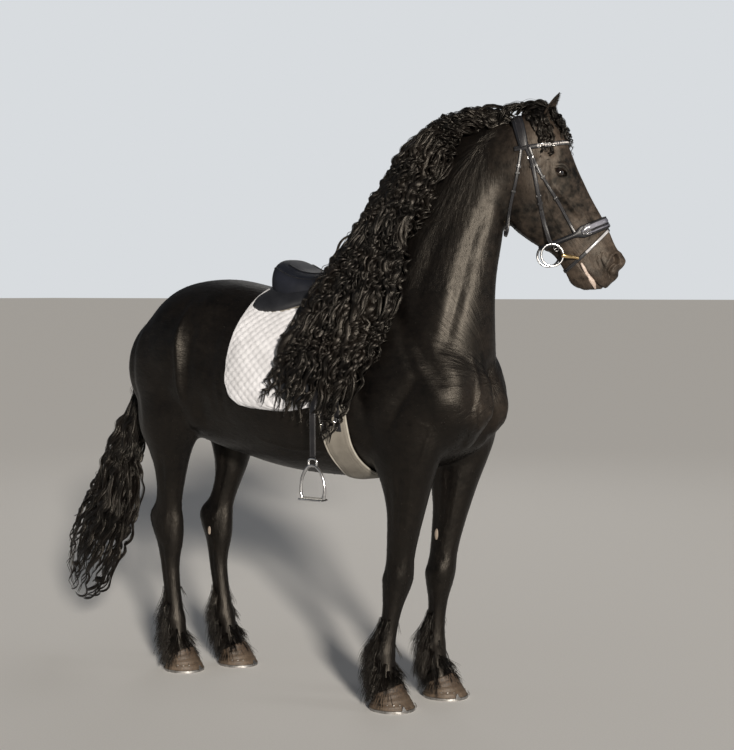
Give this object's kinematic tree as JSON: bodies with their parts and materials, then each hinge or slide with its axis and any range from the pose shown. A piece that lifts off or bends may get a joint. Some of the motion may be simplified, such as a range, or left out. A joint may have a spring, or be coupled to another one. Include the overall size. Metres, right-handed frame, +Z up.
{
  "type": "friesian horse",
  "caption": "Black Friesian horse standing square-on with arched neck, long wavy mane and tail, feathered legs, wearing a bridle without reins, dressage saddle, white pad and girth.",
  "frame": {"origin": "middle of the bounding box on the ground under the shoes", "axes": "+X to the horse's front, along its length from tail tip to muzzle; +Y to the horse's left; +Z up"},
  "size_m": [2.5626, 0.7602, 2.3],
  "materials": {
    "coat": "short glossy black hair",
    "hair": "long wavy black hair",
    "hoof": "grey-brown horn",
    "eye": "wet, very dark brown",
    "leather": "black bridle leather",
    "saddle": "smooth dark navy leather",
    "pad": "quilted white cotton",
    "girth": "grey-beige padded leather",
    "steel": "polished to worn steel"
  },
  "bodies": {
    "root": {"bit_left": "steel", "bit_right": "steel", "browband": "leather", "cheekpiece_left": "leather", "cheekpiece_right": "leather", "ear_left": "coat", "ear_right": "coat", "eye_left": "eye", "eye_right": "eye", "feather_fore_left": "hair", "feather_fore_right": "hair", "feather_hind_left": "hair", "feather_hind_right": "hair", "flash_strap": "leather", "foreleg_left": "coat", "foreleg_right": "coat", "forelock": "hair", "girth": "girth", "head": "coat", "headpiece": "leather", "hindleg_left": "coat", "hindleg_right": "coat", "hoof_fore_left": "hoof", "hoof_fore_right": "hoof", "hoof_hind_left": "hoof", "hoof_hind_right": "hoof", "mane": "hair", "neck": "coat", "noseband": "leather", "noseband_strap_left": "leather", "noseband_strap_right": "leather", "saddle_flap_left": "saddle", "saddle_flap_right": "saddle", "saddle_pad": "pad", "saddle_seat": "saddle", "shoe_fore_left": "steel", "shoe_fore_right": "steel", "shoe_hind_left": "steel", "shoe_hind_right": "steel", "stirrup_iron_left": "steel", "stirrup_iron_right": "steel", "stirrup_leather_left": "leather", "stirrup_leather_right": "leather", "tail": "hair", "throatlatch_left": "leather", "throatlatch_right": "leather", "trunk": "coat"}
  },
  "joints": []
}
